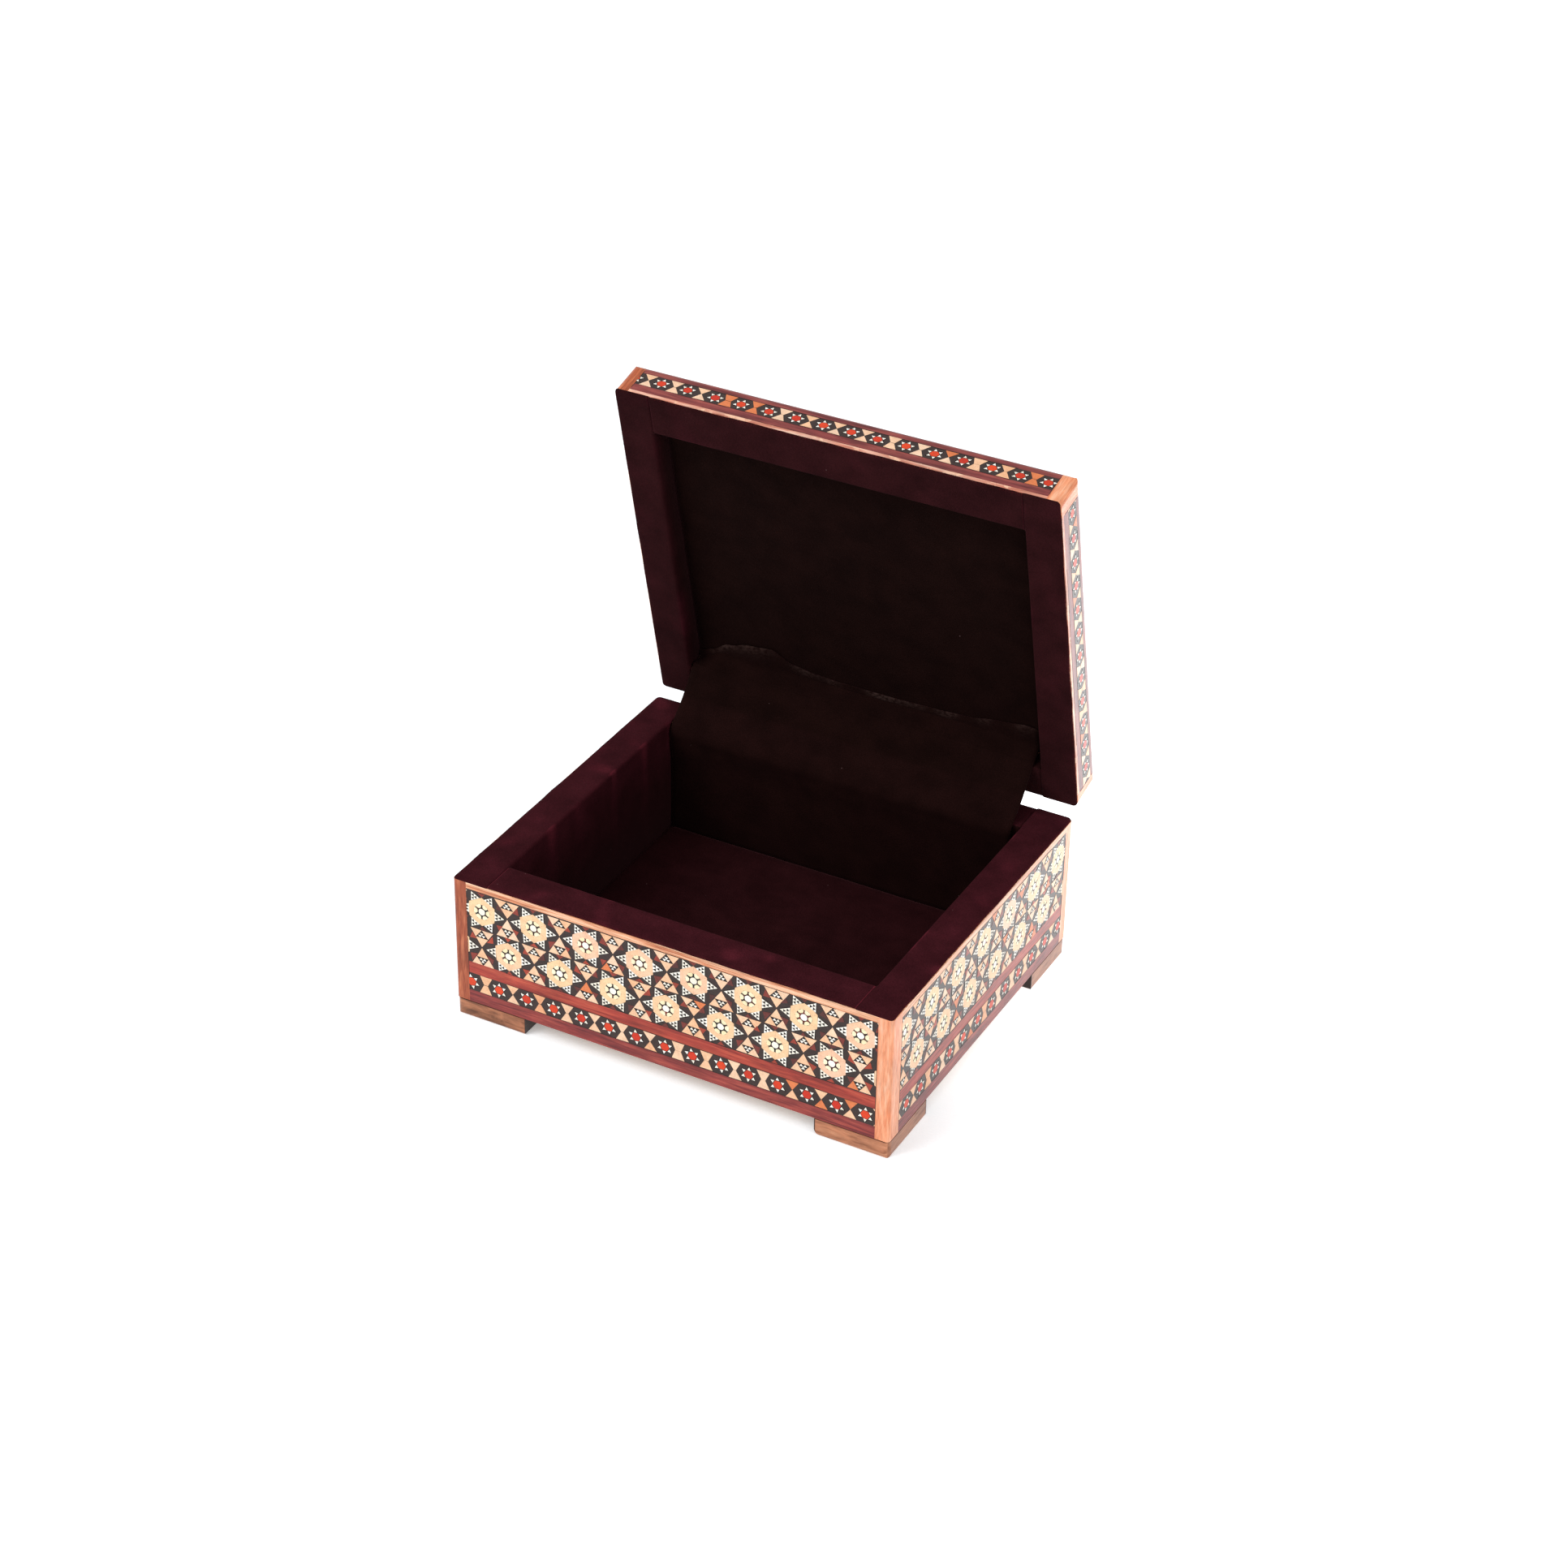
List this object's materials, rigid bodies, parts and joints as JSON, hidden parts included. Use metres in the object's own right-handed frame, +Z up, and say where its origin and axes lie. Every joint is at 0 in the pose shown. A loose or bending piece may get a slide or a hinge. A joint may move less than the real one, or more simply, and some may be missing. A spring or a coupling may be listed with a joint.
{
  "type": "inlaid wooden box",
  "caption": "Small rectangular wooden box with star marquetry, a hinged lid, dark velvet lining, a velvet strip across the hinge and low corner feet.",
  "frame": {"origin": "centre of the base's footprint, on the plane the feet stand on", "axes": "+X along the width to the right seen from the front, +Y from front to back, +Z up; the lid is stored open"},
  "size_m": [0.13, 0.1208, 0.1521],
  "materials": {
    "core_wood": "plain sanded poplar",
    "pale_corners": "orange wood under gloss lacquer",
    "dark_corners": "brown-red wood under gloss lacquer",
    "pale_edging": "orange wood under gloss lacquer",
    "red_borders": "red-stained wood under gloss lacquer",
    "inlay_stars": "marquetry of dyed wood and white bone under gloss lacquer",
    "inlay_bands": "marquetry of dyed wood and white bone under gloss lacquer",
    "foot_wood": "brown stain under thin lacquer",
    "velvet": "dark wine velvet pile",
    "brass": "plain rolled brass"
  },
  "bodies": {
    "base": {"base_floor_board": "core_wood", "base_wall_front": "core_wood", "base_wall_right": "core_wood", "base_wall_back": "core_wood", "base_wall_left": "core_wood", "base_corner_front_left": "dark_corners", "base_corner_front_right": "pale_corners", "base_corner_back_left": "dark_corners", "base_corner_back_right": "pale_corners", "base_star_panel_front": "inlay_stars", "base_star_panel_right": "inlay_stars", "base_star_panel_back": "inlay_stars", "base_star_panel_left": "inlay_stars", "base_star_band_front": "inlay_bands", "base_star_band_right": "inlay_bands", "base_star_band_back": "inlay_bands", "base_star_band_left": "inlay_bands", "base_rim_edging": "pale_edging", "base_middle_border": "red_borders", "base_bottom_border": "red_borders", "foot_front_left": "foot_wood", "foot_front_right": "foot_wood", "foot_back_left": "foot_wood", "foot_back_right": "foot_wood", "velvet_base_left": "velvet", "velvet_base_right": "velvet", "velvet_base_front": "velvet", "velvet_base_floor": "velvet", "velvet_hinge_strip": "velvet", "hinge_base_leaf_left": "brass", "hinge_base_leaf_right": "brass", "hinge_pins": "brass", "hinge_base_nails": "brass"},
    "lid": {"lid_top_board": "core_wood", "lid_rail_front": "core_wood", "lid_rail_right": "core_wood", "lid_rail_back": "core_wood", "lid_rail_left": "core_wood", "lid_corner_front_left": "pale_corners", "lid_corner_front_right": "pale_corners", "lid_corner_back_left": "pale_corners", "lid_corner_back_right": "pale_corners", "lid_star_band_front": "inlay_bands", "lid_star_band_right": "inlay_bands", "lid_star_band_back": "inlay_bands", "lid_star_band_left": "inlay_bands", "lid_upper_border": "red_borders", "lid_lower_border": "red_borders", "lid_top_outer_border": "red_borders", "lid_top_star_band": "inlay_bands", "lid_top_inner_border": "red_borders", "lid_top_star_panel": "inlay_stars", "velvet_lid_left": "velvet", "velvet_lid_right": "velvet", "velvet_lid_front": "velvet", "velvet_lid_panel": "velvet", "hinge_lid_leaf_left": "brass", "hinge_lid_leaf_right": "brass", "hinge_lid_nails": "brass"}
  },
  "joints": [
    {"name": "lid_hinge", "type": "hinge", "parent": "base", "child": "lid", "pos_m": [0, 0.05588, 0.04322], "axis": [1, 0, 0], "range_deg": [0, 76.4], "deforming": ["velvet_hinge_strip"]}
  ]
}
